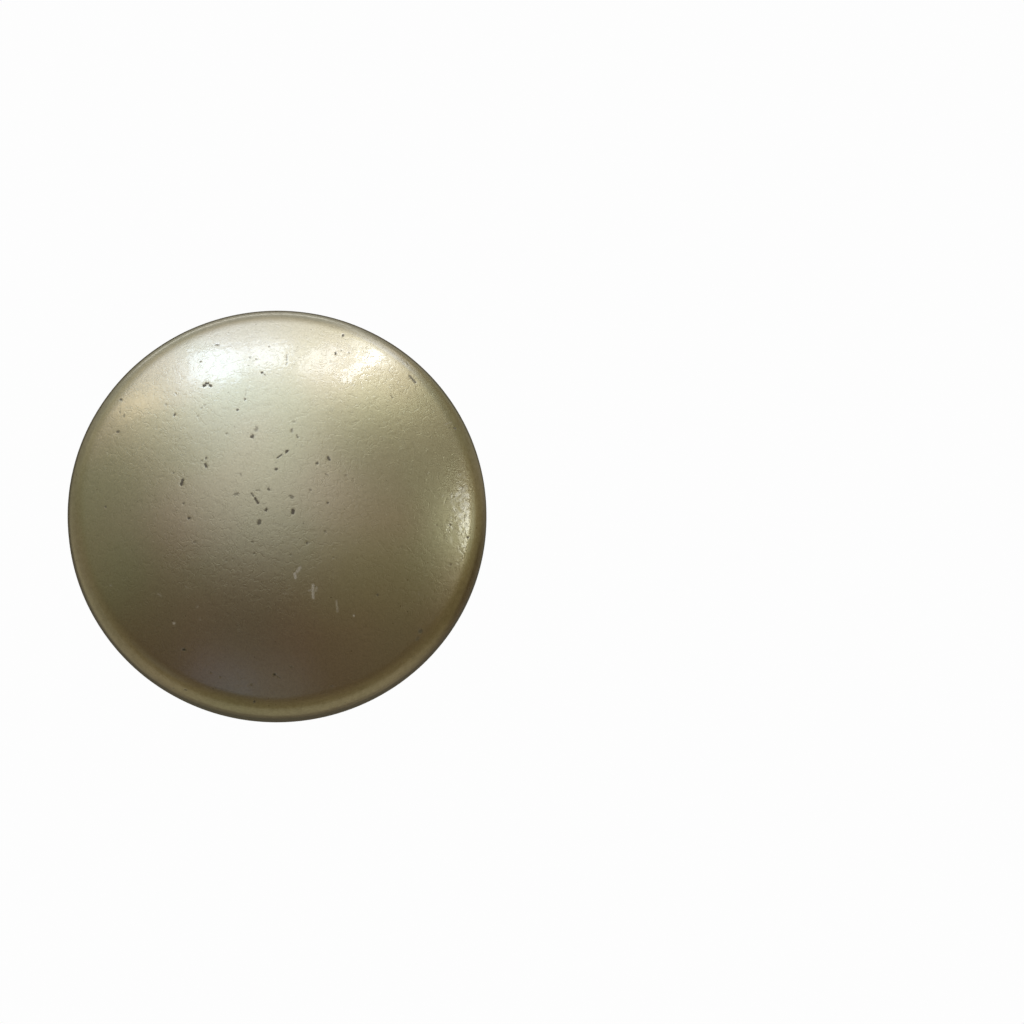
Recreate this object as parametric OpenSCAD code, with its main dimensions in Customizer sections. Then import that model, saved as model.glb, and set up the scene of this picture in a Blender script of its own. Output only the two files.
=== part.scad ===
// Button earring: a round pearl-lacquered dome with a plain spring clip on its back.
// Millimetres, +Z up. The earring lies on its clip: the underside of the paddle is z = 0,
// the dome's axis is the Z axis, and +Y is the top edge as it is worn.

/* [Dome] */
// Outer diameter of the dome
dome_d = 32; // [26:0.5:38]
// Slope of the crown, in degrees, where it runs into the rolled shoulder
crown_slope = 25; // [18:1:32]
// Radius of the rolled shoulder in section
shoulder_r = 2.4; // [1.6:0.1:3.4]
// Height of the straight edge below the shoulder
edge_h = 1.3; // [0.8:0.1:2]
// Radius that eases the bottom corner of the edge
corner_r = 0.35; // [0.2:0.05:0.6]

/* [Ear clip] */
// Thickness of the clip's strip
strip_t = 0.8; // [0.6:0.1:1]
// Width of the strip round the bend
strip_w = 7; // [5:0.5:8]
// Diameter of the pad that is glued to the back of the dome
pad_d = 11; // [9:0.5:13]
// Clear gap between the pad and the paddle, for the ear lobe
lobe_gap = 3; // [2.4:0.1:3.4]
// Distance from the dome's axis down to where the bend begins
bend_reach = 5; // [4:0.5:7]
// Distance from the dome's axis up to the tip of the paddle
paddle_reach = 6.5; // [5.5:0.5:9]
// Width of the paddle at its rounded end
paddle_w = 8.5; // [8:0.5:10]

/* [Fit] */
// Thickness of the glue line between the pad and the dome
glue_gap = 0.05; // [0.02:0.01:0.1]

/* [Hidden] */
$fn = 180;
dome_r = dome_d / 2;
// The crown and the shoulder share one tangent, at this radius from the axis
crown_edge_r = dome_r - shoulder_r * (1 - sin(crown_slope));
crown_r = crown_edge_r / sin(crown_slope);
shoulder_top = edge_h + shoulder_r * cos(crown_slope);
crown_centre = shoulder_top - crown_r * cos(crown_slope);
clip_h = lobe_gap + 2 * strip_t;
dome_back = clip_h + glue_gap;
pad_underside = clip_h - strip_t;

// Half section of the dome, with its back on the X axis and its own axis along Y
module dome_section() {
    // Crown, out to the shoulder
    intersection() {
        translate([0, crown_centre]) circle(r = crown_r);
        square([crown_edge_r, shoulder_top + crown_r]);
    }
    // Rolled shoulder
    difference() {
        translate([dome_r - shoulder_r, edge_h]) circle(r = shoulder_r);
        translate([0, edge_h - 2 * shoulder_r]) square([dome_r, 2 * shoulder_r]);
    }
    // Straight edge, standing on the eased corner
    translate([0, corner_r]) square([dome_r, edge_h - corner_r]);
    translate([dome_r - corner_r, corner_r]) circle(r = corner_r);
    square([dome_r - corner_r, corner_r]);
}

module dome() {
    color([0.60, 0.57, 0.46])
        translate([0, 0, dome_back])
        rotate_extrude() dome_section();
}

// Side view of the strip: two legs joined by a half ring, as [up as worn, height]
module strip_section() {
    translate([-bend_reach, pad_underside]) square([bend_reach, strip_t]);
    translate([-bend_reach, 0]) square([bend_reach, strip_t]);
    translate([-bend_reach, clip_h / 2]) difference() {
        circle(d = clip_h);
        circle(d = lobe_gap);
        translate([0, -clip_h]) square([clip_h, 2 * clip_h]);
    }
}

// The strip widens into the paddle, which ends in a half disc
module paddle() {
    round_y = paddle_reach - paddle_w / 2;
    linear_extrude(strip_t) {
        translate([0, round_y]) circle(d = paddle_w);
        polygon([
            [-strip_w / 2, -bend_reach],
            [strip_w / 2, -bend_reach],
            [paddle_w / 2, round_y],
            [-paddle_w / 2, round_y]
        ]);
    }
}

module ear_clip() {
    color([0.74, 0.73, 0.70]) {
        translate([0, 0, pad_underside]) cylinder(d = pad_d, h = strip_t);
        translate([-strip_w / 2, 0, 0])
            rotate([90, 0, 90])
            linear_extrude(strip_w) strip_section();
        paddle();
    }
}

dome();
ear_clip();
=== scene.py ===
"""Button earring: a round dome in champagne pearl lacquer on a plain spring clip.

It lies face up on a pale table, and is seen and lit as in its photo.
"""

import logging
import math
from dataclasses import dataclass
from enum import Enum

import bmesh
import bpy
from mathutils import Matrix, Vector, noise
from mathutils.kdtree import KDTree


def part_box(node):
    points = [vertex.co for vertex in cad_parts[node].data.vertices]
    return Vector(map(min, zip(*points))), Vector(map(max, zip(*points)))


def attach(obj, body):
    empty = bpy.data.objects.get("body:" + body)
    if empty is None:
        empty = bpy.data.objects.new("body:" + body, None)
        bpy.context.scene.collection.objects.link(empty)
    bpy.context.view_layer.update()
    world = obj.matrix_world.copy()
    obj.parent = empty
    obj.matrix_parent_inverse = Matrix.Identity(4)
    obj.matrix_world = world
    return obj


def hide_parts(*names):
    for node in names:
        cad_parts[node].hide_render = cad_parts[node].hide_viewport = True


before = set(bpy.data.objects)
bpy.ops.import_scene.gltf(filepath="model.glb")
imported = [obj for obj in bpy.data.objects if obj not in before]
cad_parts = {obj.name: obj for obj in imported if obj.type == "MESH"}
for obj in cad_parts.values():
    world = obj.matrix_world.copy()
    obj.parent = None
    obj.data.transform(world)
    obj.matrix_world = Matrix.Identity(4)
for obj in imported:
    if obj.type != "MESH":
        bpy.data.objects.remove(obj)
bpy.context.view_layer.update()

MM = 0.001
TINY = 1e-7
Socket = bpy.types.NodeSocket
# Height above the dome's back of the point that shows at the dome's middle
VIEW_MIDDLE = 0.97 * MM
# Slopes of the shoulder, in degrees, between which the lacquer passes from the face's look to the rim's
RIM_SLOPES = (27.0, 48.0)
log = logging.getLogger("button_earring")


def smooth_step(value: float, low: float, high: float) -> float:
    """Rises smoothly from 0 where value is low to 1 where it is high."""
    share = min(max((value - low) / (high - low), 0.0), 1.0)
    return share * share * (3.0 - 2.0 * share)


class NodeKit:
    """Adds and links the nodes of one material or world."""

    def __init__(self, tree: bpy.types.NodeTree) -> None:
        """Starts from an empty tree."""
        self.tree = tree
        tree.nodes.clear()

    def add(self, kind: str, inputs: dict | None = None, **settings: object) -> bpy.types.Node:
        """Adds one shader node and fills its sockets.

        Args:
            kind: The node's type without its ShaderNode prefix.
            inputs: For each input's name or number, a value or the output socket to link.
            settings: The node's own properties.

        Returns:
            The new node.
        """
        node = self.tree.nodes.new("ShaderNode" + kind)
        for name, value in settings.items():
            setattr(node, name, value)
        for name, value in (inputs or {}).items():
            if isinstance(value, Socket):
                self.tree.links.new(value, node.inputs[name])
            else:
                node.inputs[name].default_value = value
        return node

    def millimetres(self) -> Socket:
        """Object coordinates counted in millimetres."""
        place = self.add("TexCoord").outputs["Object"]
        return self.add("Mapping", {"Vector": place, "Scale": (1 / MM,) * 3}).outputs["Vector"]

    def cloud(self, where: Socket, per_mm: float, detail: float = 2.0, roughness: float = 0.5,
              distortion: float = 0.0) -> Socket:
        """A soft noise from about 0 to 1, with per_mm features to the millimetre and finer layers."""
        return self.add("TexNoise", {"Vector": where, "Scale": per_mm, "Detail": detail,
                                     "Roughness": roughness, "Distortion": distortion}).outputs["Fac"]

    def calc(self, operation: str, first: object, second: object, clamp: bool = False) -> Socket:
        """One step of arithmetic on two numbers or sockets, kept from 0 to 1 where clamp is set."""
        return self.add("Math", {0: first, 1: second}, operation=operation, use_clamp=clamp).outputs[0]

    def rise(self, value: Socket, low: float, high: float, floor: float = 0.0,
             ceiling: float = 1.0) -> Socket:
        """A smooth step from floor to ceiling, as the value goes from low to high."""
        inputs = {"Value": value, "From Min": low, "From Max": high, "To Min": floor, "To Max": ceiling}
        return self.add("MapRange", inputs, interpolation_type="SMOOTHSTEP").outputs["Result"]

    def mix(self, share: object, first: object, second: object, blend: str = "MIX") -> Socket:
        """Blends two colours.

        Args:
            share: How much of the second colour goes in, a number or a socket.
            first: A colour or a socket.
            second: A colour or a socket.
            blend: The blend type.

        Returns:
            The blended colour's socket.
        """
        node = self.add("Mix", data_type="RGBA", blend_type=blend)
        for name, value in (("Factor_Float", share), ("A_Color", first), ("B_Color", second)):
            socket = next(s for s in node.inputs if s.identifier == name)
            if isinstance(value, Socket):
                self.tree.links.new(value, socket)
            else:
                socket.default_value = value
        return next(s for s in node.outputs if s.identifier == "Result_Color")

    def relief(self, height: Socket, depth: float, under: Socket | None = None) -> Socket:
        """A bumped normal.

        Args:
            height: The relief's grey socket.
            depth: The real depth, in metres, of a change from 0 to 1.
            under: The normal that this relief lies on.

        Returns:
            The normal's socket.
        """
        inputs: dict = {"Height": height, "Distance": depth, "Strength": 1.0}
        if under is not None:
            inputs["Normal"] = under
        return self.add("Bump", inputs).outputs["Normal"]


def tint(red: float, green: float, blue: float) -> tuple[float, float, float, float]:
    """An opaque colour in linear light."""
    return red, green, blue, 1.0


def outward(around: float, slope: float) -> Vector:
    """The direction that leans by slope from the dome's axis, at an angle around it."""
    return Vector((math.cos(around) * math.sin(slope), math.sin(around) * math.sin(slope), math.cos(slope)))


def new_finish(name: str) -> tuple[bpy.types.Material, NodeKit]:
    """Starts a material.

    Args:
        name: Plain name of the finish.
    """
    made = bpy.data.materials.new(name)
    made.use_nodes = True
    return made, NodeKit(made.node_tree)


def finished(mesh: bmesh.types.BMesh, name: str) -> bpy.types.Object:
    """Turns a finished mesh into a smoothly shaded object at the origin.

    Args:
        mesh: The bmesh, which is freed.
        name: Plain name of the piece.

    Returns:
        The object.
    """
    for face in mesh.faces:
        face.smooth = True
    data = bpy.data.meshes.new(name)
    mesh.to_mesh(data)
    mesh.free()
    made = bpy.data.objects.new(name, data)
    bpy.context.scene.collection.objects.link(made)
    return made


@dataclass(frozen=True)
class PearlLacquer:
    """Champagne pearl lacquer under a clear gloss coat, with the bare moulding where it is chipped.

    Attributes:
        bare_above: Height on the part below which the moulding is left bare.
        rim_low: Height on the part below which the lacquer is all rim.
        rim_high: Height above which none of it is.
        olive: The lacquer's greenest tone.
        champagne: Its main tone.
        rose: Its pinkest tone.
        rim_painted_shade: What the painted shade on the rim, mottled, takes off the colour at most.
        bare: The dark moulding under the lacquer and on the back.
        pitted: The tone down in a deep pit.
        scuffed: The dry, pale tone of scuffed lacquer.
        pearl_metal: How metallic the pearl is.
        pearl_roughness: How softly the pearl spreads the light.
        rim_roughness: How softly it does so on the rim.
        dry_roughness: How rough bare and scuffed spots are.
        coat_roughness: How rough the clear coat is.
        coat_ior: Refractive index of the clear coat.
        bare_coat: How much of the coat's gloss is left on a bare spot.
        edge_wander: How far the lacquer's lower edge wanders, in millimetres.
        edge_soft: How soft that edge is, in millimetres.
        drift_per_mm: How fast the tones drift.
        grain_per_mm: Fineness of the pearl's grain.
        mottle_per_mm: Fineness of the rim's mottling.
        speck_per_mm: How close the pinholes may stand.
        speck_strength: How dark they are.
        hairline_depth: Depth of the hairline scratches in the pearl.
        coat_hairline_depth: Their depth in the coat.
        flow_per_mm: Fineness of the pearl's uneven flow.
        flow_depth: Depth of that flow.
        peel_per_mm: Fineness of the coat's orange peel.
        peel_depth: Depth of the orange peel.
        right_peel: How much deeper the peel is at the right edge.
        right_edge: Distances across, in millimetres, between which it deepens.
        ripple_per_mm: Fineness of the coat's ripple.
        ripple_depth: Depth of the ripple.
    """

    bare_above: float
    rim_low: float
    rim_high: float
    olive: tuple = tint(0.415, 0.408, 0.282)
    champagne: tuple = tint(0.430, 0.403, 0.284)
    rose: tuple = tint(0.445, 0.395, 0.284)
    rim_painted_shade: tuple = tint(0.89, 0.88, 0.86)
    bare: tuple = tint(0.114, 0.100, 0.074)
    pitted: tuple = tint(0.044, 0.036, 0.018)
    scuffed: tuple = tint(0.46, 0.44, 0.38)
    pearl_metal: float = 0.92
    pearl_roughness: float = 0.36
    rim_roughness: float = 0.30
    dry_roughness: float = 0.7
    coat_roughness: float = 0.08
    coat_ior: float = 1.65
    bare_coat: float = 0.1
    edge_wander: float = 0.10
    edge_soft: float = 0.04
    drift_per_mm: float = 0.11
    grain_per_mm: float = 7.0
    mottle_per_mm: float = 2.4
    speck_per_mm: float = 1.9
    speck_strength: float = 0.5
    hairline_depth: float = 0.0033 * MM
    coat_hairline_depth: float = 0.0019 * MM
    flow_per_mm: float = 1.7
    flow_depth: float = 0.0065 * MM
    peel_per_mm: float = 1.5
    peel_depth: float = 0.012 * MM
    right_peel: float = 2.4
    right_edge: tuple[float, float] = (11.0, 14.0)
    ripple_per_mm: float = 4.5
    ripple_depth: float = 0.0022 * MM

    def material(self) -> bpy.types.Material:
        """Builds the lacquer's material.

        Returns:
            The material. It reads a point attribute for each kind of mark.
        """
        made, kit = new_finish("pearl_lacquer")
        place = kit.millimetres()
        chipped, pitted, scuffed = (kit.add("Attribute", attribute_name=kind.value).outputs["Fac"]
                                    for kind in MarkKind)
        level = self._hairlines(kit, place)
        bare = kit.calc("MAXIMUM", chipped, kit.calc("SUBTRACT", 1.0, self._covered(kit, place)), clamp=True)
        rim = kit.rise(kit.add("SeparateXYZ", {0: place}).outputs["Z"], self.rim_low / MM,
                       self.rim_high / MM, 1.0, 0.0)
        mottled = kit.rise(kit.cloud(place, self.mottle_per_mm, 2.0, 0.6), 0.35, 0.65)
        # Painted shade: the pearl's colour is darkened on the rim, in a mottle
        rim_shade_share = kit.calc("MULTIPLY", rim, mottled)
        colour = kit.mix(rim_shade_share, self._pearl(kit, place), self.rim_painted_shade, "MULTIPLY")
        colour = kit.mix(kit.rise(level, 0.0, 1.0, 0.05, 0.0), colour, self.bare)
        colour = kit.mix(scuffed, colour, self.scuffed)
        colour = kit.mix(bare, colour, self.bare)
        colour = kit.mix(pitted, colour, self.pitted)
        bare = kit.calc("MAXIMUM", bare, pitted, clamp=True)
        dry = kit.calc("MAXIMUM", bare, scuffed, clamp=True)
        sheen = kit.rise(rim, 0.0, 1.0, self.pearl_roughness, self.rim_roughness)
        flow = kit.cloud(place, self.flow_per_mm, 1.0, 0.6)
        shader = kit.add("BsdfPrincipled", {
            "Base Color": colour,
            "Metallic": kit.calc("MULTIPLY", kit.calc("SUBTRACT", 1.0, dry), self.pearl_metal),
            "Roughness": kit.calc("MAXIMUM", sheen, kit.rise(dry, 0.0, 1.0, 0.0, self.dry_roughness)),
            "Coat Weight": kit.rise(bare, 0.0, 1.0, 1.0, self.bare_coat),
            "Coat Roughness": self.coat_roughness,
            "Coat IOR": self.coat_ior,
            "Normal": kit.relief(flow, self.flow_depth, kit.relief(level, self.hairline_depth)),
            "Coat Normal": self._coat_relief(kit, place, level),
        })
        kit.add("OutputMaterial", {"Surface": shader.outputs["BSDF"]})
        return made

    def _covered(self, kit: NodeKit, place: Socket) -> Socket:
        """Where the lacquer reaches, with a wandering edge.

        Args:
            kit: The material's nodes.
            place: The coordinates, in millimetres.

        Returns:
            A share: 1 on the face, and 0 on the flat back.
        """
        height = kit.add("SeparateXYZ", {0: place}).outputs["Z"]
        wander = kit.calc("MULTIPLY", kit.cloud(place, 0.8, 1.0), self.edge_wander)
        edge = self.bare_above / MM
        return kit.rise(kit.calc("SUBTRACT", height, wander), edge - self.edge_soft, edge)

    def _pearl(self, kit: NodeKit, place: Socket) -> Socket:
        """The pearl's colour, which drifts between its three tones and is finely grained.

        Args:
            kit: The material's nodes.
            place: The coordinates, in millimetres.

        Returns:
            The colour's socket.
        """
        stops = kit.add("ValToRGB", {"Fac": kit.cloud(place, self.drift_per_mm, 1.0, 0.45)})
        ramp = stops.color_ramp
        ramp.elements[0].position = 0.36
        ramp.elements[0].color = self.olive
        ramp.elements[1].position = 0.64
        ramp.elements[1].color = self.rose
        ramp.elements.new(0.5).color = self.champagne
        grain = kit.rise(kit.cloud(place, self.grain_per_mm, 1.0, 0.6), 0.3, 0.7, 0.93, 1.05)
        grey = kit.add("CombineColor", {0: grain, 1: grain, 2: grain}).outputs[0]
        colour = kit.mix(1.0, stops.outputs["Color"], grey, "MULTIPLY")
        specks = kit.calc("MULTIPLY", self._specks(kit, place), self.speck_strength)
        return kit.mix(specks, colour, self.bare)

    def _specks(self, kit: NodeKit, place: Socket) -> Socket:
        """Fine dark pinholes in the lacquer, a few in each square millimetre at most.

        Args:
            kit: The material's nodes.
            place: The coordinates, in millimetres.

        Returns:
            A share: 1 in a pinhole, and 0 between them.
        """
        cells = kit.add("TexVoronoi", {"Vector": place, "Scale": self.speck_per_mm, "Randomness": 1.0})
        chance = kit.add("SeparateColor", {0: cells.outputs["Color"]}).outputs[0]
        size = kit.rise(chance, 0.62, 1.0, 0.0, 0.15)
        return kit.rise(kit.calc("SUBTRACT", size, cells.outputs["Distance"]), 0.0, 0.05)

    def _coat_relief(self, kit: NodeKit, place: Socket, level: Socket) -> Socket:
        """The coat's normal: hairlines, orange peel and a finer ripple.

        Args:
            kit: The material's nodes.
            place: The coordinates, in millimetres.
            level: The hairlines' level.

        Returns:
            The normal's socket.
        """
        across = kit.add("SeparateXYZ", {0: place}).outputs["X"]
        uneven = kit.calc("MULTIPLY", kit.cloud(place, self.peel_per_mm, 1.0, 0.5),
                          kit.rise(across, *self.right_edge, 1.0, self.right_peel))
        peel = kit.relief(uneven, self.peel_depth, kit.relief(level, self.coat_hairline_depth))
        return kit.relief(kit.cloud(place, self.ripple_per_mm, 0.0, 0.5), self.ripple_depth, peel)

    def _hairlines(self, kit: NodeKit, place: Socket) -> Socket:
        """Short curling hairline scratches.

        Args:
            kit: The material's nodes.
            place: The coordinates, in millimetres.

        Returns:
            A level of 1, with the scratches as grooves in it.
        """
        level: object = 1.0
        for per_mm, patchy in ((1.4, 2.3), (2.1, 1.5)):
            line = kit.calc("SUBTRACT", kit.cloud(place, per_mm, 0.0, 0.5, 0.7), 0.5)
            broken = kit.rise(kit.cloud(place, patchy, 0.0), 0.47, 0.57)
            groove = kit.rise(kit.calc("ABSOLUTE", line, 0.0), 0.0, 0.07, 1.0, 0.0)
            level = kit.calc("SUBTRACT", level, kit.calc("MULTIPLY", groove, broken), clamp=True)
        return level


@dataclass(frozen=True)
class PlatedMetal:
    """Satin nickel plate on spring steel.

    Attributes:
        colour: The plate's colour.
        tarnish: The tarnish's colour.
        tarnish_strength: How far the tarnish covers the plate.
        roughness: The least and the most that its grain roughens the shine.
        grain: How fine the grain is across, along and through the strip, per millimetre.
        grain_depth: Depth of the grain.
    """

    colour: tuple = tint(0.62, 0.60, 0.55)
    tarnish: tuple = tint(0.36, 0.31, 0.22)
    tarnish_strength: float = 0.5
    roughness: tuple[float, float] = (0.22, 0.40)
    grain: tuple[float, float, float] = (14.0, 0.5, 2.0)
    grain_depth: float = 0.0015 * MM

    def material(self) -> bpy.types.Material:
        """Builds the plate's material, with a fine grain along the strip and faint tarnish.

        Returns:
            The material.
        """
        made, kit = new_finish("plated_metal")
        place = kit.millimetres()
        tarnished = kit.rise(kit.cloud(place, 0.5, 4.0, 0.6), 0.45, 0.75)
        along = kit.add("Mapping", {"Vector": place, "Scale": self.grain}).outputs["Vector"]
        grain = kit.cloud(along, 1.0, 3.0, 0.6)
        shader = kit.add("BsdfPrincipled", {
            "Base Color": kit.mix(kit.calc("MULTIPLY", tarnished, self.tarnish_strength), self.colour,
                                  self.tarnish),
            "Metallic": 1.0,
            "Roughness": kit.rise(grain, 0.2, 0.8, *self.roughness),
            "Normal": kit.relief(grain, self.grain_depth),
        })
        kit.add("OutputMaterial", {"Surface": shader.outputs["BSDF"]})
        return made


class MarkKind(Enum):
    """What a blemish did to the lacquer."""

    CHIP = "bare"
    PIT = "pitted"
    SCUFF = "scuffed"


@dataclass(frozen=True)
class Mark:
    """One blemish on the dome's face, charted in the photo's frame.

    Attributes:
        x: Middle of the mark, in pixels from the photo's left.
        y: Middle of the mark, in pixels from the photo's top.
        length: Length in pixels.
        width: Width in pixels.
        turn: Direction of its length, in degrees anticlockwise from the photo's right.
        strength: How strongly it shows, from 0 to 1.
        kind: What it did to the lacquer.
    """

    x: float
    y: float
    length: float
    width: float
    turn: float
    strength: float
    kind: MarkKind


# Each row is a mark's x, y, length, width, turn and strength
CHART = (
    (MarkKind.CHIP, (
        (204.3, 385.6, 4.5, 3.4, 20, 1.0), (207.0, 383.4, 5.0, 2.6, 10, 1.0),
        (210.3, 385.6, 4.5, 2.8, -40, 0.9), (262.0, 372.6, 3.6, 3.0, 30, 0.9),
        (264.6, 374.6, 3.4, 1.4, -40, 0.6), (217.2, 344.7, 4.5, 2.0, 0, 0.7),
        (200.4, 361.7, 2.4, 2.2, 0, 0.7), (286.8, 357.6, 7.0, 1.5, 88, 0.5),
        (286.6, 363.6, 3.0, 1.8, 90, 0.5), (245.0, 399.3, 3.2, 2.2, 80, 0.8),
        (245.9, 393.0, 7.0, 1.0, 82, 0.35), (237.4, 410.1, 3.2, 2.8, 0, 0.8),
        (174.6, 414.8, 4.0, 3.0, 60, 0.8), (256.4, 429.2, 6.0, 4.4, 60, 0.45),
        (252.3, 436.4, 5.0, 3.8, 40, 0.85), (226.6, 433.6, 2.8, 2.4, 0, 0.6),
        (293.8, 422.0, 3.4, 2.0, -10, 0.4), (291.8, 430.6, 4.6, 3.0, 80, 0.55),
        (297.3, 436.6, 4.4, 2.0, -60, 0.6), (287.1, 451.3, 4.6, 3.0, 45, 0.95),
        (279.5, 456.4, 7.4, 2.0, 38, 0.8), (206.1, 458.0, 3.0, 2.6, 0, 0.8),
        (201.8, 460.6, 2.6, 2.2, 0, 0.5), (205.8, 465.6, 5.6, 2.8, -65, 0.9),
        (181.9, 482.4, 8.2, 3.4, 72, 1.0), (173.6, 473.2, 2.8, 2.2, 0, 0.5),
        (276.3, 469.2, 3.8, 3.2, 10, 0.9), (317.1, 463.3, 3.6, 3.0, 20, 0.85),
        (328.8, 458.6, 6.0, 3.2, -62, 0.9), (326.8, 474.6, 4.6, 1.8, -35, 0.45),
        (268.6, 489.2, 3.6, 3.0, -40, 0.9), (257.8, 490.5, 6.0, 1.6, 0, 0.5),
        (252.4, 494.6, 5.4, 1.9, -56, 0.75), (256.6, 500.8, 8.6, 2.6, -58, 0.95),
        (236.4, 494.3, 6.0, 3.6, 10, 0.5), (240.6, 474.5, 3.6, 2.4, -60, 0.35),
        (291.6, 496.9, 5.6, 3.6, -40, 0.6), (310.6, 490.2, 3.4, 2.8, 0, 0.5),
        (327.8, 503.0, 3.2, 2.8, 0, 0.85), (266.1, 510.0, 4.0, 3.4, 70, 0.95),
        (292.9, 511.8, 6.6, 4.2, 82, 1.0), (259.2, 522.3, 6.6, 4.6, 75, 0.85),
        (183.4, 503.6, 2.8, 2.4, 0, 0.7), (188.8, 518.3, 3.8, 2.8, 0, 1.0),
        (105.6, 507.0, 3.0, 2.4, -50, 0.7), (120.8, 399.7, 3.6, 3.0, -30, 0.8),
        (117.8, 432.2, 4.2, 3.2, 0, 0.8), (123.8, 415.8, 4.0, 2.2, 80, 0.4),
        (119.6, 412.2, 2.6, 2.0, 0, 0.4), (175.9, 393.5, 3.4, 1.8, -60, 0.45),
        (166.3, 404.6, 2.8, 2.4, 0, 0.4), (197.8, 416.1, 2.6, 2.0, 0, 0.35),
        (204.6, 405.2, 3.0, 2.0, 20, 0.35), (201.6, 408.2, 2.8, 2.0, 60, 0.35),
        (194.7, 542.0, 3.8, 2.6, 30, 0.45), (252.2, 542.0, 3.0, 2.6, 0, 0.6),
        (254.1, 553.8, 2.6, 2.4, 0, 0.65), (226.4, 560.6, 2.4, 2.0, 0, 0.4),
        (232.6, 559.1, 2.2, 2.0, 0, 0.4), (306.9, 543.0, 3.4, 2.6, 80, 0.8),
        (324.9, 531.5, 3.0, 2.6, 0, 0.6), (290.5, 554.9, 2.8, 2.2, 0, 0.5),
        (333.3, 557.7, 2.6, 2.2, 0, 0.4),
    )),
    (MarkKind.PIT, (
        (184.2, 649.8, 4.6, 3.0, 0, 1.0), (274.5, 674.6, 3.6, 3.2, 0, 1.0),
        (278.6, 677.2, 4.6, 1.4, -30, 0.6), (254.3, 701.5, 3.2, 3.0, 80, 0.8),
        (291.2, 666.9, 3.6, 2.2, 0, 0.6), (331.2, 686.1, 3.2, 2.4, 0, 0.5),
        (210.8, 672.8, 2.4, 2.2, 0, 0.6), (251.5, 684.7, 2.8, 2.4, 0, 0.6),
        (220.0, 677.0, 2.6, 2.2, 0, 0.45), (185.6, 690.0, 3.4, 2.2, -10, 0.7),
        (173.4, 688.2, 3.0, 2.0, 20, 0.5), (420.3, 631.4, 5.6, 4.8, 0, 0.72),
        (417.4, 638.6, 5.6, 3.4, 60, 0.45), (377.5, 594.9, 3.2, 2.8, 0, 0.75),
    )),
    (MarkKind.CHIP, (
        (454.9, 428.4, 3.6, 2.6, -20, 0.8), (412.6, 379.2, 11.6, 2.8, -50, 0.7),
        (407.7, 363.8, 5.0, 1.8, -55, 0.5), (335.5, 353.5, 3.8, 2.8, 80, 0.8),
        (343.0, 335.0, 3.6, 2.4, 80, 0.8), (341.0, 350.5, 2.6, 2.0, 0, 0.5),
        (348.8, 352.6, 2.6, 2.0, 0, 0.5), (468.0, 537.4, 3.4, 2.6, 0, 0.8),
        (450.1, 525.0, 2.8, 2.4, 0, 0.7), (436.5, 525.4, 2.6, 2.2, 0, 0.5),
        (450.5, 564.7, 2.8, 2.4, 0, 0.6), (345.9, 475.5, 2.8, 2.2, 60, 0.4),
        (269.3, 346.4, 2.8, 2.4, 0, 0.45), (250.2, 357.4, 2.8, 2.2, 0, 0.4),
        (256.0, 359.2, 3.0, 2.0, 0, 0.4), (325.4, 316.0, 3.6, 2.0, -14, 0.7),
        (397.9, 524.7, 2.6, 2.2, 0, 0.4), (401.8, 546.8, 3.0, 2.4, 30, 0.35),
        (391.6, 396.8, 4.6, 1.6, -40, 0.4),
    )),
    (MarkKind.SCUFF, (
        (298.6, 569.2, 8.4, 3.0, 55, 0.9), (295.1, 575.4, 7.6, 3.6, -84, 1.0),
        (313.0, 591.4, 16.0, 3.8, 90, 0.85), (310.2, 590.0, 5.4, 2.4, 20, 0.6),
        (316.4, 588.8, 6.0, 2.2, 75, 0.6), (336.9, 606.0, 13.0, 2.4, -84, 0.55),
        (353.8, 615.6, 3.0, 2.6, 0, 0.8), (173.9, 623.3, 3.8, 3.2, 0, 0.8),
        (110.6, 585.2, 2.4, 2.2, 0, 0.7), (159.6, 594.9, 5.0, 1.6, -30, 0.5),
        (197.5, 606.8, 3.0, 2.0, 60, 0.5), (200.3, 619.4, 2.6, 2.0, 60, 0.5),
        (187.0, 587.2, 4.6, 1.4, -30, 0.35), (418.9, 594.2, 2.2, 2.0, 0, 0.5),
        (448.0, 423.2, 8.0, 1.4, 20, 0.4), (286.0, 593.6, 7.0, 1.4, -12, 0.3),
    )),
)
MARKS = tuple(Mark(*row, kind) for kind, rows in CHART for row in rows)


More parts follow.
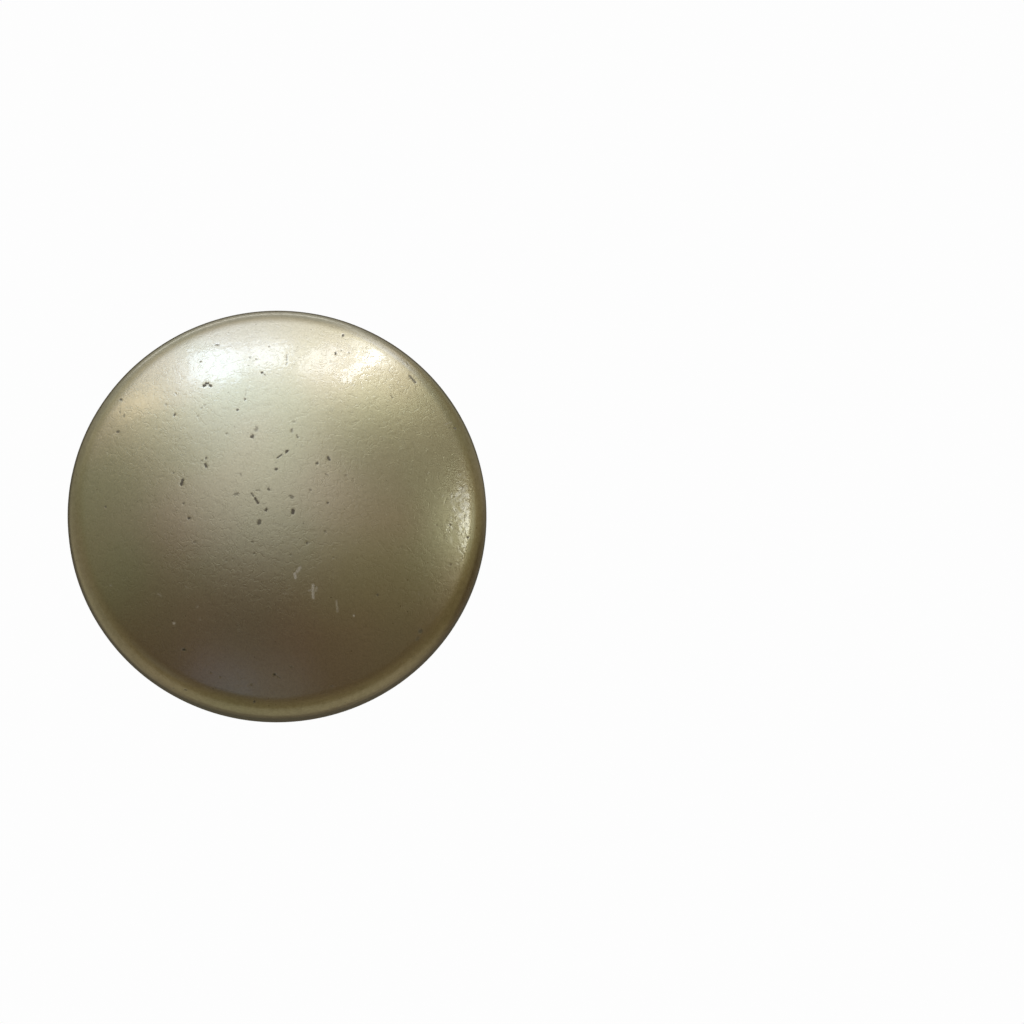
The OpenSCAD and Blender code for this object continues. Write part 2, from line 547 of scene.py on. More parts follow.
@dataclass(frozen=True)
class PhotoView:
    """The photo's camera, and what each pixel of its frame looks at.

    Attributes:
        side: Width and height of the frame in pixels.
        dome_x: Where the dome's middle shows, in pixels from the left.
        dome_y: Where the dome's middle shows, in pixels from the top.
        pixel: Real width of one pixel at the dome.
        tilt: Angle between the view and the dome's axis, towards the lower edge.
        distance: Distance from the camera to the dome.
        middle: The point of the dome that shows at dome_x, dome_y.
        sensor: Width of the camera's sensor in millimetres.
        clip: Distances between which the camera sees.
    """

    middle: Vector
    side: float = 1024.0
    dome_x: float = 277.1
    dome_y: float = 516.0
    pixel: float = 0.0764 * MM
    tilt: float = math.radians(13.1)
    distance: float = 1.25
    sensor: float = 36.0
    clip: tuple[float, float] = (0.01, 10.0)

    def turn(self) -> Matrix:
        """The camera's rotation: its columns are right, up and back."""
        back = Vector((0.0, -math.sin(self.tilt), math.cos(self.tilt)))
        return (-back).to_track_quat("-Z", "Y").to_matrix()

    def station(self) -> Vector:
        """Where the camera stands.

        Returns:
            The place, in metres.
        """
        right, up, back = self.turn().transposed()
        off_right = (self.side / 2 - self.dome_x) * self.pixel
        off_up = (self.dome_y - self.side / 2) * self.pixel
        return self.middle + right * off_right + up * off_up + back * self.distance

    def ray(self, x: float, y: float) -> Vector:
        """The direction in which a pixel looks.

        Args:
            x: Pixels from the frame's left.
            y: Pixels from the frame's top.

        Returns:
            A unit vector away from the camera.
        """
        right, up, back = self.turn().transposed()
        across = (x - self.side / 2) * self.pixel
        rise = (self.side / 2 - y) * self.pixel
        return (right * across + up * rise - back * self.distance).normalized()

    def camera(self) -> bpy.types.Object:
        """Makes the camera and hands it to the scene.

        Returns:
            The camera's object.
        """
        data = bpy.data.cameras.new("photo_camera")
        data.sensor_width = self.sensor
        data.lens = self.sensor * self.distance / (self.side * self.pixel)
        data.clip_start, data.clip_end = self.clip
        made = bpy.data.objects.new("photo_camera", data)
        made.matrix_world = Matrix.Translation(self.station()) @ self.turn().to_4x4()
        bpy.context.scene.collection.objects.link(made)
        bpy.context.scene.camera = made
        return made


@dataclass
class Dome:
    """The lacquered button: crown, rolled shoulder, straight edge, eased corner and flat back.

    Attributes:
        radius: Outer radius.
        back: Height of the flat back.
        crown_slope: Slope of the crown where it runs into the shoulder.
        shoulder_radius: Radius of the shoulder in section.
        edge_height: Height of the straight edge's top above the back.
        corner_radius: Radius of the eased corner at the back.
        rings: Rings of triangles from the apex to the corner's end.
        refine_cuts: Cuts that each edge gets near a mark.
        refine_margin: How far round a mark the mesh is refined.
        wave_depth: Depth of the lacquer's slow waves.
        wave_per_m: Waves in a metre.
        ripple: How much finer the second, weaker set of waves is.
        dent_depth: Depth of the strongest chip.
        scuff_share: How deep a scuff is, as a share of a chip.
        ragged: How far a mark's outline wanders, as a share of its half width.
        ragged_size: Size of that wandering.
        mark_edge: Shares of a mark's half width between which it fades out.
        mark_reach: How far out a mark is pressed in at most, as a share of its half width.
        back_insets: Widths of the rings of faces on the back, from the edge inwards.
    """

    radius: float
    back: float
    crown_slope: float = math.radians(25)
    shoulder_radius: float = 2.4 * MM
    edge_height: float = 1.3 * MM
    corner_radius: float = 0.35 * MM
    rings: int = 130
    refine_cuts: int = 2
    refine_margin: float = 0.13 * MM
    wave_depth: float = 0.006 * MM
    wave_per_m: float = 330.0
    ripple: float = 2.3
    dent_depth: float = 0.014 * MM
    scuff_share: float = 0.25
    ragged: float = 0.45
    ragged_size: float = 0.11 * MM
    mark_edge: tuple[float, float] = (0.48, 1.15)
    mark_reach: float = 1.6
    back_insets: tuple[float, ...] = (0.4 * MM, 1.6 * MM, 5.0 * MM)

    def __post_init__(self) -> None:
        """Works out the centres and arc lengths of the profile."""
        self.roll_r = self.radius - self.shoulder_radius
        self.roll_z = self.back + self.edge_height
        self.crown_edge = self.roll_r + self.shoulder_radius * math.sin(self.crown_slope)
        self.crown_radius = self.crown_edge / math.sin(self.crown_slope)
        shoulder_top = self.roll_z + self.shoulder_radius * math.cos(self.crown_slope)
        self.crown_z = shoulder_top - self.crown_radius * math.cos(self.crown_slope)
        self.apex = self.crown_z + self.crown_radius
        self.crown_run = self.crown_radius * self.crown_slope
        self.shoulder_run = self.shoulder_radius * (math.pi / 2 - self.crown_slope)
        self.edge_run = self.edge_height - self.corner_radius
        self.corner_run = self.corner_radius * math.pi / 2
        self.run = self.crown_run + self.shoulder_run + self.edge_run + self.corner_run

    def profile(self, walked: float) -> tuple[float, float, float]:
        """The profile's point after a walk from the apex.

        Args:
            walked: Distance along the profile from the apex.

        Returns:
            Radius, height, and the slope angle of the surface there.
        """
        if walked <= self.crown_run:
            slope = walked / self.crown_radius
            return (self.crown_radius * math.sin(slope), self.crown_z + self.crown_radius * math.cos(slope),
                    slope)
        walked -= self.crown_run
        if walked <= self.shoulder_run:
            slope = self.crown_slope + walked / self.shoulder_radius
            return (self.roll_r + self.shoulder_radius * math.sin(slope),
                    self.roll_z + self.shoulder_radius * math.cos(slope), slope)
        walked -= self.shoulder_run
        if walked <= self.edge_run:
            return self.radius, self.roll_z - walked, math.pi / 2
        slope = math.pi / 2 + (walked - self.edge_run) / self.corner_radius
        return (self.radius - self.corner_radius * (1 - math.sin(slope)),
                self.back + self.corner_radius * (1 + math.cos(slope)), slope)

    def place(self, spot: Vector) -> tuple[Vector, Vector]:
        """Lays a point of the flat hexagon on the dome.

        Each ring of the hexagon becomes a circle, and the rings are spread evenly along the profile.

        Args:
            spot: A point of a hexagon whose corners lie 1 from its centre.

        Returns:
            The point on the dome, and the outward direction there.
        """
        reach = spot.xy.length
        if reach < TINY:
            return Vector((0.0, 0.0, self.apex)), Vector((0.0, 0.0, 1.0))
        sixth = math.pi / 3
        angle = math.atan2(spot.y, spot.x)
        side = sixth * round(angle / sixth)
        along = reach * math.cos(angle - side)
        across = reach * math.sin(angle - side) / (along * math.tan(sixth / 2))
        around = side + across * sixth / 2
        r, z, slope = self.profile(min(along / math.cos(sixth / 2), 1.0) * self.run)
        return Vector((r * math.cos(around), r * math.sin(around), z)), outward(around, slope)

    def seen_at(self, view: PhotoView, x: float, y: float) -> tuple[Vector, Vector]:
        """Finds the point of the face that a pixel shows.

        Args:
            view: The photo's camera.
            x: Pixels from the frame's left.
            y: Pixels from the frame's top.

        Returns:
            The point and the outward direction there.
        """
        start, ray = view.station(), view.ray(x, y)
        point = start
        height = self.apex
        for _ in range(40):
            point = start + ray * ((height - start.z) / ray.z)
            height = self.face_height(point.xy.length)
        r = min(point.xy.length, self.radius)
        around = math.atan2(point.y, point.x)
        slope = math.asin(r / self.crown_radius)
        if r > self.crown_edge:
            slope = math.asin(min((r - self.roll_r) / self.shoulder_radius, 1.0))
        return Vector((point.x, point.y, height)), outward(around, slope)

    def slope_height(self, degrees: float) -> float:
        """Height at which the shoulder has a given slope."""
        return self.roll_z + self.shoulder_radius * math.cos(math.radians(degrees))

    def mirrored(self, view: PhotoView, x: float, y: float) -> Vector:
        """The direction that the coat mirrors towards the camera at a pixel.

        Args:
            view: The photo's camera.
            x: Pixels from the frame's left.
            y: Pixels from the frame's top.

        Returns:
            A unit vector away from the dome.
        """
        return view.ray(x, y).reflect(self.seen_at(view, x, y)[1])

    def face_height(self, r: float) -> float:
        """Height of the face at a distance from the axis.

        Args:
            r: Distance from the axis.

        Returns:
            The height, or that of the shoulder's end beyond the rim.
        """
        if r <= self.crown_edge:
            return self.crown_z + math.sqrt(self.crown_radius ** 2 - r * r)
        reach = min(r - self.roll_r, self.shoulder_radius)
        return self.roll_z + math.sqrt(self.shoulder_radius ** 2 - reach * reach)

    def build(self, view: PhotoView, marks: tuple[Mark, ...]) -> bpy.types.Object:
        """Builds the dome with its waves, chips and scuffs.

        Args:
            view: The photo's camera, in whose frame the marks are charted.
            marks: The blemishes.

        Returns:
            The dome's object.
        """
        mesh = bmesh.new()
        bmesh.ops.create_circle(mesh, cap_ends=True, cap_tris=True, segments=6, radius=1.0)
        bmesh.ops.subdivide_edges(mesh, edges=mesh.edges[:], cuts=self.rings - 1, use_grid_fill=True)
        strokes = [self.stroke(view, mark) for mark in marks]
        self.refine(mesh, strokes)
        self.lay(mesh, strokes)
        self.close_back(mesh)
        bmesh.ops.recalc_face_normals(mesh, faces=mesh.faces[:])
        return finished(mesh, "pearl_dome")

    def stroke(self, view: PhotoView, mark: Mark) -> tuple[Vector, Vector, float, Mark]:
        """Lays one mark on the face.

        Args:
            view: The photo's camera.
            mark: The blemish.

        Returns:
            The stroke's two ends on the face, its half width, and the mark.
        """
        half = max(mark.length - mark.width, 0.0) / 2
        turn = math.radians(mark.turn)
        step_x, step_y = half * math.cos(turn), -half * math.sin(turn)
        start = self.seen_at(view, mark.x - step_x, mark.y - step_y)[0]
        end = self.seen_at(view, mark.x + step_x, mark.y + step_y)[0]
        return start, end, mark.width * view.pixel / 2, mark

    @staticmethod
    def off_stroke(point: Vector, start: Vector, end: Vector) -> float:
        """Distance from a point to a stroke.

        Args:
            point: The point.
            start: The stroke's first end.
            end: Its second end.

        Returns:
            The distance.
        """
        run = end - start
        if run.length < TINY:
            return (point - start).length
        share = min(max((point - start).dot(run) / run.length_squared, 0.0), 1.0)
        return (point - start - run * share).length

    def refine(self, mesh: bmesh.types.BMesh, strokes: list) -> None:
        """Makes the triangles finer round each stroke.

        Args:
            mesh: The flat hexagon.
            strokes: What stroke() gave for each mark.
        """
        verts = mesh.verts[:]
        spots = [self.place(vert.co)[0] for vert in verts]
        tree = KDTree(len(spots))
        for number, spot in enumerate(spots):
            tree.insert(spot, number)
        tree.balance()
        chosen = set()
        for start, end, half, _ in strokes:
            near = half + self.refine_margin
            reach = (end - start).length / 2 + near
            for spot, number, _ in tree.find_range((start + end) / 2, reach):
                if self.off_stroke(spot, start, end) < near:
                    chosen.add(verts[number])
        edges = [edge for edge in mesh.edges if edge.verts[0] in chosen and edge.verts[1] in chosen]
        bmesh.ops.subdivide_edges(mesh, edges=edges, cuts=self.refine_cuts, use_grid_fill=True)
        wide = [face for face in mesh.faces if len(face.verts) > 4]
        bmesh.ops.triangulate(mesh, faces=wide)

    def lay(self, mesh: bmesh.types.BMesh, strokes: list) -> None:
        """Lays the hexagon on the profile, and presses the waves and marks into it.

        Args:
            mesh: The flat hexagon, refined.
            strokes: What stroke() gave for each mark.
        """
        layers = {kind: mesh.verts.layers.float.new(kind.value) for kind in MarkKind}
        verts = mesh.verts[:]
        outs = []
        tree = KDTree(len(verts))
        for number, vert in enumerate(verts):
            vert.co, out = self.place(vert.co)
            outs.append(out)
            tree.insert(vert.co, number)
        tree.balance()
        sunk = [0.0] * len(verts)
        for seed, (start, end, half, mark) in enumerate(strokes):
            reach = (end - start).length / 2 + half * self.mark_reach
            for spot, number, _ in tree.find_range((start + end) / 2, reach):
                wander = noise.noise(spot / self.ragged_size + Vector((seed * 7.0, 0.0, 0.0)))
                off = self.off_stroke(spot, start, end) / (half * (1.0 + self.ragged * wander))
                cover = mark.strength * (1.0 - smooth_step(off, *self.mark_edge))
                layer = layers[mark.kind]
                vert = verts[number]
                vert[layer] = max(vert[layer], cover)
                depth = self.dent_depth * (self.scuff_share if mark.kind is MarkKind.SCUFF else 1.0)
                sunk[number] = max(sunk[number], depth * cover)
        for number, vert in enumerate(verts):
            at = vert.co * self.wave_per_m
            wave = noise.noise(at) + 0.5 * noise.noise(at * self.ripple)
            vert.co += outs[number] * (wave * self.wave_depth / 2 - sunk[number])

    def close_back(self, mesh: bmesh.types.BMesh) -> None:
        """Closes the flat back with a cap, rings of faces and a fan.

        Args:
            mesh: The laid face, open at the back.
        """
        rim = [edge for edge in mesh.edges if edge.is_boundary]
        for edge in rim:
            for vert in edge.verts:
                vert.co.z = self.back
        cap = bmesh.ops.contextual_create(mesh, geom=rim)["faces"]
        for width in self.back_insets:
            bmesh.ops.inset_region(mesh, faces=cap, thickness=width, use_even_offset=True)
        bmesh.ops.poke(mesh, faces=cap)


@dataclass
class EarClip:
    """The clip: a pad, a strip bent through half a turn, and a paddle with a round end.

    It is cut flat as one blank, whose length runs from the pad's far edge to the paddle's tip, and is then
    bent. The blank's zero is the pad's centre.

    Attributes:
        height: Height of the pad's glued face.
        thickness: Thickness of the strip.
        strip_width: Width of the strip round the bend.
        pad_width: Diameter of the pad.
        paddle_width: Width of the paddle at its round end.
        bend_reach: Distance from the dome's axis to where the bend begins.
        paddle_reach: Distance from the dome's axis to the paddle's tip.
        edge_round: Radius of the tumbled edges.
        ribs: Columns of faces across the blank.
        steps: Rows of faces along the pad, the bend, the taper and the paddle's round end.
        bevel_steps: Rows of faces across a tumbled edge.
    """

    height: float
    thickness: float = 0.8 * MM
    strip_width: float = 7.0 * MM
    pad_width: float = 11.0 * MM
    paddle_width: float = 8.5 * MM
    bend_reach: float = 5.0 * MM
    paddle_reach: float = 6.5 * MM
    edge_round: float = 0.16 * MM
    ribs: int = 8
    steps: tuple[int, int, int, int] = (48, 32, 8, 24)
    bevel_steps: int = 4

    def __post_init__(self) -> None:
        """Works out the bend and the blank's lengths."""
        self.bend_radius = (self.height - self.thickness) / 2
        self.bend_end = self.bend_reach + self.bend_radius * math.pi
        self.round_start = self.bend_end + self.bend_reach + self.paddle_reach - self.paddle_width / 2

    def stations(self) -> list[tuple[float, float]]:
        """The blank's rows from end to end.

        Returns:
            For each row, its place along the blank and its half width.
        """
        pad, strip, paddle = self.pad_width / 2, self.strip_width / 2, self.paddle_width / 2
        pad_steps, bend_steps, taper_steps, end_steps = self.steps
        leave = math.pi - math.asin(strip / pad)
        rows = []
        for n in range(pad_steps + 1):
            turn = leave * n / pad_steps
            rows.append((-pad * math.cos(turn), pad * math.sin(turn)))
        for n in range(bend_steps + 1):
            rows.append((self.bend_reach + (self.bend_end - self.bend_reach) * n / bend_steps, strip))
        for n in range(1, taper_steps + 1):
            share = n / taper_steps
            rows.append((self.bend_end + (self.round_start - self.bend_end) * share,
                         strip + (paddle - strip) * share))
        for n in range(1, end_steps + 1):
            turn = math.pi / 2 * n / end_steps
            rows.append((self.round_start + paddle * math.sin(turn), paddle * math.cos(turn)))
        return rows

    def bent(self, across: float, along: float, proud: float) -> Vector:
        """Bends one point of the blank into place.

        Args:
            across: Distance from the blank's middle line.
            along: Distance along the blank from the pad's centre.
            proud: Distance outwards from the strip's middle layer.

        Returns:
            The point on the clip.
        """
        middle_z = self.height / 2
        reach = self.bend_radius + proud
        if along <= self.bend_reach:
            return Vector((across, -along, middle_z + reach))
        if along >= self.bend_end:
            return Vector((across, along - self.bend_end - self.bend_reach, middle_z - reach))
        angle = (along - self.bend_reach) / self.bend_radius
        return Vector((across, -self.bend_reach - reach * math.sin(angle),
                       middle_z + reach * math.cos(angle)))

    def build(self) -> bpy.types.Object:
        """Cuts the blank, rounds its edges and bends it.

        Returns:
            The clip's object.
        """
        rows = self.stations()
        mesh = bmesh.new()
        bmesh.ops.create_grid(mesh, x_segments=self.ribs, y_segments=len(rows) - 1, size=1.0)
        for vert in mesh.verts:
            along, half_width = rows[round((vert.co.y + 1.0) / 2 * (len(rows) - 1))]
            across = math.sin(vert.co.x * math.pi / 2) * half_width
            vert.co = (across, along, -self.thickness / 2)
        bmesh.ops.remove_doubles(mesh, verts=mesh.verts[:], dist=TINY)
        raised = bmesh.ops.extrude_face_region(mesh, geom=mesh.faces[:])["geom"]
        lifted = [item for item in raised if isinstance(item, bmesh.types.BMVert)]
        bmesh.ops.translate(mesh, verts=lifted, vec=(0.0, 0.0, self.thickness))
        bmesh.ops.recalc_face_normals(mesh, faces=mesh.faces[:])
        corners = [edge for edge in mesh.edges if edge.calc_face_angle(0.0) > math.radians(60)
                   and abs(edge.verts[0].co.z - edge.verts[1].co.z) < TINY]
        bmesh.ops.bevel(mesh, geom=corners, offset=self.edge_round, offset_type="OFFSET", affect="EDGES",
                        segments=self.bevel_steps, profile=0.5, material=-1, clamp_overlap=True)
        for vert in mesh.verts:
            vert.co = self.bent(*vert.co)
        bmesh.ops.recalc_face_normals(mesh, faces=mesh.faces[:])
        made = finished(mesh, "bent_clip")
        made.modifiers.new("even_shading", "WEIGHTED_NORMAL")
        return made


@dataclass(frozen=True)
class Lamp:
    """A soft lamp, set where its reflection shows in the photo.

    Attributes:
        name: Plain name.
        start: Pixel where the reflection's long axis begins.
        end: Pixel where it ends.
        breadth: Breadth of the reflection in pixels.
        glow: Brightness of its face.
        colour: Its colour.
        distance: Distance from the dome.
    """

    name: str
    start: tuple[float, float]
    end: tuple[float, float]
    breadth: float
    glow: float
    colour: tuple[float, float, float]
    distance: float = 0.8

    def build(self, dome: Dome, view: PhotoView) -> bpy.types.Object:
        """Makes the lamp.

        Args:
            dome: The dome that mirrors it.
            view: The photo's camera.

        Returns:
            The lamp's object.
        """
        ends = [dome.seen_at(view, *pixel)[0] + dome.mirrored(view, *pixel) * self.distance
                for pixel in (self.start, self.end)]
        long_axis = ends[1] - ends[0]
        middle = (ends[0] + ends[1]) / 2
        back = middle.normalized()
        across = back.cross(long_axis).normalized()
        along = across.cross(back)
        pixels = math.dist(self.start, self.end)
        data = bpy.data.lights.new(self.name, "AREA")
        data.shape = "RECTANGLE"
        data.size = long_axis.length
        data.size_y = long_axis.length * self.breadth / pixels
        data.energy = self.glow * math.pi * data.size * data.size_y
        data.color = self.colour
        made = bpy.data.objects.new(self.name, data)
        turn = Matrix((along, across, back)).transposed()
        made.matrix_world = Matrix.Translation(middle) @ turn.to_4x4()
        made.visible_camera = False
        bpy.context.scene.collection.objects.link(made)
        log.info("lamp %s stands at (%.2f, %.2f, %.2f) m", self.name, *middle)
        return made


@dataclass(frozen=True)
class Patch:
    """A patch of the room or the table that the gloss mirrors.

    Attributes:
        towards: Direction of its middle.
        colour: Its colour in linear light.
        fade: Angle from the middle at which it has faded out, in degrees.
        full: Angle from the middle out to which it is at its strongest, in degrees.
        low: Elevation of its lower edge, in degrees.
        high: Elevation of its upper edge, in degrees.
        soft: Softness of these two edges, in degrees.
        blend: How it joins what lies behind it.
    """

    towards: tuple[float, float, float] | Vector
    colour: tuple[float, float, float]
    fade: float = 181.0
    full: float = 180.0
    low: float = -91.0
    high: float = 91.0
    soft: float = 2.0
    blend: str = "ADD"

    def over(self, kit: NodeKit, way: Socket, height: Socket, behind: object) -> Socket:
        """Lays the patch over what lies behind it.

        Args:
            kit: The world's nodes.
            way: The direction looked at.
            height: Its elevation in degrees.
            behind: The colour behind the patch.

        Returns:
            The new colour.
        """
        share: object = 1.0
        if self.fade < 180.0:
            middle = Vector(self.towards).normalized()
            facing = kit.add("VectorMath", {0: way, 1: middle}, operation="DOT_PRODUCT")
            off = kit.add("Math", {0: facing.outputs["Value"]}, operation="ARCCOSINE").outputs[0]
            share = kit.rise(off, math.radians(self.full), math.radians(self.fade), 1.0, 0.0)
        if self.low > -90.0:
            share = kit.calc("MULTIPLY", share, kit.rise(height, self.low, self.low + self.soft))
        if self.high < 90.0:
            share = kit.calc("MULTIPLY", share, kit.rise(height, self.high - self.soft, self.high, 1.0, 0.0))
        return kit.mix(share, behind, tint(*self.colour), self.blend)


@dataclass
class Studio:
    """The pale table, the lamps and the room.

    Attributes:
        dome: The dome that mirrors them.
        view: The photo's camera.
        table_half: Half the table's width.
        lamps: The lamps.
        room: The room's dimmest colour.
        backdrop: The colour of the table and of what lies behind it.
        shade: The table's colour in the painted shade under the dome.
        shade_mm: Distances from the dome's axis between which the painted shade fades out.
    """

    dome: Dome
    view: PhotoView
    table_half: float = 1.2
    lamps: tuple[Lamp, ...] = (
        Lamp("left_pane", (190, 368), (244, 364), 40, 2.45, (0.78, 0.97, 1.20)),
        Lamp("middle_pane", (252, 358), (289, 355), 30, 2.7, (0.82, 0.97, 1.15)),
        Lamp("first_slat", (302, 375), (319, 350), 9, 2.6, (0.94, 0.98, 1.06)),
        Lamp("second_slat", (319, 376), (338, 350), 9, 2.3, (0.94, 0.98, 1.08)),
        Lamp("slanted_pane", (341, 381), (381, 352), 10, 5.8, (0.92, 0.98, 1.16)),
    )
    room: tuple = tint(0.085, 0.046, 0.017)
    backdrop: tuple = tint(0.984, 0.984, 0.984)
    shade: tuple = tint(0.58, 0.57, 0.55)
    shade_mm: tuple[float, float] = (5.0, 14.5)

    def seen(self, x: float, y: float) -> Vector:
        """The direction that the dome mirrors at a pixel of the photo."""
        return self.dome.mirrored(self.view, x, y)

    def patches(self) -> tuple[Patch, ...]:
        """What the gloss mirrors besides the lamps.

        Returns:
            The patches, from the back to the front.
        """
        up, lower, upper = (0, 0, 1), (0, -1, 0), (-0.1, 1, 0)
        seen = self.seen
        return (
            Patch(seen(250, 352), (0.88, 0.88, 0.825), 61.5, 8.0),
            Patch(seen(211, 366), (1.15, 1.5, 2.15), 11.0, 2.0),
            Patch(seen(268, 353), (0.95, 1.15, 1.5), 8.0, 2.0),
            Patch(seen(216, 356), (0.32, 0.44, 0.84), 34.0, 4.0),
            Patch(seen(360, 362), (0.46, 0.42, 0.20), 26.0, 4.0),
            Patch(seen(259, 482), (0.65, 0.65, 0.67), 32.0, 2.0),
            Patch(seen(385, 350), (1.35, 1.55, 1.95), 12.0, 4.0),
            Patch(seen(376, 352), (2.7, 3.05, 3.5), 8.0, 2.0),
            Patch(seen(321, 362), (1.0, 1.15, 1.4), 7.0, 2.0),
            Patch(seen(341, 352), (0.0, 0.1, 0.6), 6.0, 2.0),
            Patch(seen(374, 384), (0.36, 0.37, 0.28), 13.0, 3.0),
            Patch(seen(286, 380), (0.20, 0.20, 0.175), 23.0, 5.0),
            Patch(seen(462, 522), (0.14, 0.15, 0.11), 13.0, 3.0),
            Patch((0.742, 0.248, 0.623), (1.5, 1.75, 2.1), 6.0, 1.0),
            Patch((0.764, 0.190, 0.616), (3.3, 3.55, 3.6), 6.0, 0.5),
            Patch((0.781, 0.103, 0.616), (5.2, 5.3, 4.6), 6.5, 0.5),
            Patch((0.816, 0.144, 0.560), (2.9, 3.0, 2.6), 5.5, 0.5),
            Patch(seen(473, 520), (0.46, 0.57, 0.50), 14.0, 2.0),
            Patch(seen(448, 548), (0.048, 0.042, 0.018), 28.0, 4.0),
            Patch(seen(88, 545), (0.10, 0.145, 0.078), 28.0, 4.0),
            Patch(seen(110, 414), (1.0, 0.72, 0.38), 5.0, 1.0),
            Patch(seen(128, 407), (1.5, 1.15, 0.62), 5.5, 1.5),
            Patch(seen(149, 400), (1.6, 1.25, 0.72), 5.5, 1.5),
            Patch(seen(168, 390), (0.56, 0.43, 0.25), 18.0, 4.0),
            Patch(seen(221, 687), (0.05, 0.11, 0.23), 13.0, 4.0),
            Patch(seen(220, 664), (0.10, 0.095, 0.075), 12.0, 3.0),
            Patch(seen(160, 666), (0.02, 0.045, 0.07), 16.0, 3.0),
            Patch(seen(272, 695), (0.15, 0.17, 0.19), 17.0, 4.0),
            Patch(seen(245, 625), (0.045, 0.0, 0.0), 22.0, 8.0),
            Patch(seen(356, 574), (0.105, 0.10, 0.04), 22.0, 4.0),
            Patch(seen(361, 517), (0.145, 0.155, 0.105), 15.0, 4.0),
            Patch(seen(380, 660), (0.06, 0.063, 0.048), 17.0, 4.0),
            Patch(seen(165, 588), (0.04, 0.042, 0.025), 17.0, 4.0),
            Patch(seen(104, 538), (0.042, 0.056, 0.048), 18.0, 4.0),
            Patch(seen(138, 456), (0.69, 0.635, 0.54), 20.0, 6.0, blend="MULTIPLY"),
            Patch(seen(366, 438), (0.54, 0.52, 0.48), 17.0, 5.0, blend="MULTIPLY"),
            Patch(seen(427, 436), (1.11, 1.0, 0.86), 28.0, 10.0, blend="MULTIPLY"),
            Patch(seen(250, 630), (0.59, 0.54, 0.56), 18.0, 6.0, blend="MULTIPLY"),
            Patch(up, (0.145, 0.138, 0.078), high=44.0, soft=36.0),
            Patch(lower, (0.04, 0.035, 0.025), 60.0, 30.0, 8.0, 50.0, 14.0),
            Patch((-1, 0.2, 0), (0.05, 0.065, 0.06), 46.0, 15.0, -20.0, 40.0, 24.0),
            Patch((1, 0.1, 0.40), (0.20, 0.16, 0.07), 32.0, 6.0),
            Patch((0.94, -0.15, 0.31), (0.70, 0.70, 0.58), 18.0, 6.0, blend="MULTIPLY"),
            Patch((-0.1, 1, 0.3), (0.92, 0.95, 0.95), 45.0, 25.0, 6.0, 38.0, 8.0, "MULTIPLY"),
            Patch((0.38, 0.86, 0.30), (1.15, 1.15, 1.15), 9.0, 3.0),
            Patch(up, (0.29, 0.26, 0.175), high=2.0, soft=7.0, blend="MIX"),
            Patch(upper, (0.25, 0.31, 0.36), 66.0, 12.0, high=2.0, soft=7.0),
            Patch(lower, (0.10, 0.085, 0.055), 70.0, 40.0, high=0.0, soft=4.0),
            Patch((0.45, 1, -0.12), (0.80, 0.82, 0.86), 15.0, 4.0, -25.0, 5.0, 8.0),
            Patch((0.75, 0.75, 0), (0.11, 0.10, 0.06), 17.0, 5.0, -15.0, 12.0, 10.0),
            Patch((-0.8, 0.75, 0), (0.19, 0.18, 0.135), 30.0, 10.0, -18.0, 18.0, 12.0),
            Patch((-0.18, 1, -0.4), (1.15, 1.15, 1.15), 29.0, 18.0, -27.0, -19.0, 2.0),
            Patch((0.65, 0.75, -0.3), (0.86, 0.74, 0.56), 22.0, 8.0, high=-2.0, soft=8.0, blend="MULTIPLY"),
            Patch((1, -0.1, -0.2), (0.26, 0.212, 0.10), 44.0, 14.0, high=5.0, soft=6.0, blend="MIX"),
            Patch((1, -0.1, -0.6), (0.06, 0.035, 0.01), 22.0, 6.0, high=1.0, soft=5.0, blend="MIX"),
            Patch((0.93, -0.36, 0), (0.74, 0.72, 0.64), 22.0, 8.0, -24.0, 16.0, 8.0, "MULTIPLY"),
            Patch((1, -0.1, -1.1), (0.11, 0.082, 0.045), 29.0, 8.0, high=-30.0, soft=10.0, blend="MIX"),
            Patch((0.0, -1, -0.9), (0.155, 0.125, 0.088), 45.0, 17.0, high=-35.0, soft=10.0, blend="MIX"),
            Patch((-1, -0.1, -0.75), (0.07, 0.065, 0.04), 25.0, 6.0),
            Patch((-0.4, 1, -1.2), (0.08, 0.07, 0.05), 60.0, 35.0, high=-40.0, soft=10.0, blend="MIX"),
            Patch(up, (0.08, 0.07, 0.05), high=-56.0, soft=12.0, blend="MIX"),
        )

    def build(self) -> None:
        """Makes the table, the room and the lamps."""
        self.table()
        self.world()
        for lamp in self.lamps:
            lamp.build(self.dome, self.view)
        bpy.context.scene.view_settings.view_transform = "Standard"

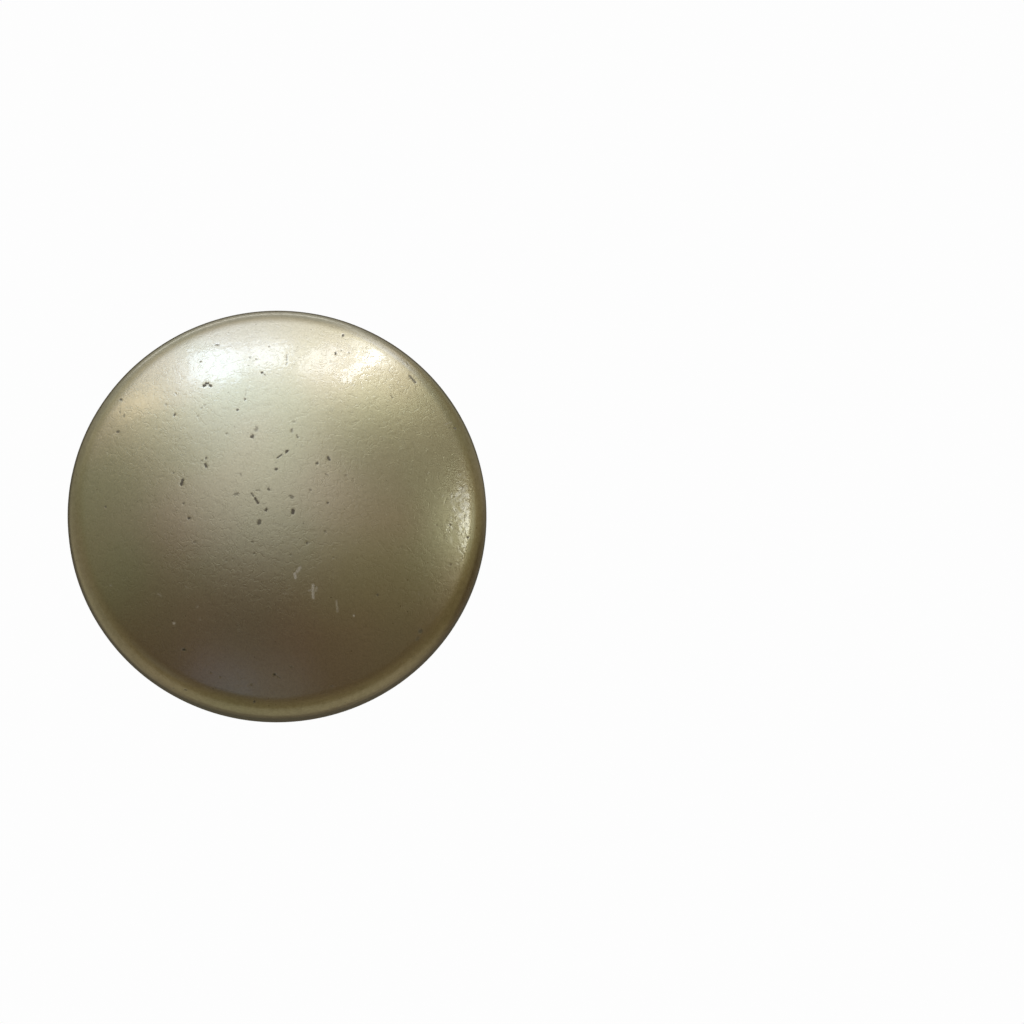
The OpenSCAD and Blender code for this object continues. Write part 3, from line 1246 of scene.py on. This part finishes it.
    def table(self) -> bpy.types.Object:
        """Makes the pale table, with a soft painted shade under the dome.

        The gloss doesn't mirror it: the room's patches give its mirror image.

        Returns:
            The table's object.
        """
        mesh = bmesh.new()
        bmesh.ops.create_grid(mesh, x_segments=1, y_segments=1, size=self.table_half)
        made = finished(mesh, "table")
        finish, kit = new_finish("table_top")
        off = kit.add("VectorMath", {0: kit.millimetres()}, operation="LENGTH").outputs["Value"]
        # Painted shade: the table's glow is darkened round the dome's axis
        colour = kit.mix(kit.rise(off, *self.shade_mm), self.shade, self.backdrop)
        shader = kit.add("BsdfPrincipled", {"Base Color": tint(0.0, 0.0, 0.0), "Roughness": 0.9,
                                            "Specular IOR Level": 0.0, "Emission Color": colour,
                                            "Emission Strength": 1.0})
        kit.add("OutputMaterial", {"Surface": shader.outputs["BSDF"]})
        made.data.materials.append(finish)
        made.visible_glossy = False
        return made

    def world(self) -> None:
        """Makes the room that the gloss mirrors, and a pale backdrop behind the table."""
        room = bpy.data.worlds.new("room")
        room.use_nodes = True
        bpy.context.scene.world = room
        kit = NodeKit(room.node_tree)
        way = kit.add("TexCoord").outputs["Generated"]
        rise = kit.add("Math", {0: kit.add("SeparateXYZ", {0: way}).outputs["Z"]}, operation="ARCSINE")
        height = kit.calc("MULTIPLY", rise.outputs[0], math.degrees(1.0))
        colour: object = self.room
        for patch in self.patches():
            colour = patch.over(kit, way, height, colour)
        light = kit.add("Background", {"Color": colour})
        pale = kit.add("Background", {"Color": self.backdrop})
        seen = kit.add("LightPath").outputs["Is Camera Ray"]
        both = kit.add("MixShader", {0: seen, 1: light.outputs[0], 2: pale.outputs[0]})
        kit.add("OutputWorld", {"Surface": both.outputs[0]})


def main() -> None:
    """Builds the earring and its studio, in order."""
    logging.basicConfig(level=logging.INFO, format="%(message)s")
    low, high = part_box("dome")
    dome = Dome(radius=(high.x - low.x) / 2, back=low.z)
    log.info("dome: radius %.2f mm, apex %.3f mm, CAD apex %.3f mm", dome.radius / MM, dome.apex / MM,
             high.z / MM)
    view = PhotoView(middle=Vector((0.0, 0.0, dome.back + VIEW_MIDDLE)))
    view.camera()
    Studio(dome, view).build()
    face = dome.build(view, MARKS)
    face_slope, rim_slope = RIM_SLOPES
    lacquer = PearlLacquer(bare_above=dome.back + dome.corner_radius, rim_low=dome.slope_height(rim_slope),
                           rim_high=dome.slope_height(face_slope))
    face.data.materials.append(lacquer.material())
    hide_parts("dome")
    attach(face, "root")
    log.info("pearl_dome: %d faces", len(face.data.polygons))
    clip = EarClip(height=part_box("ear_clip")[1].z).build()
    clip.data.materials.append(PlatedMetal().material())
    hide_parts("ear_clip")
    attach(clip, "root")
    log.info("bent_clip: %d faces", len(clip.data.polygons))


if __name__ == "__main__":
    main()
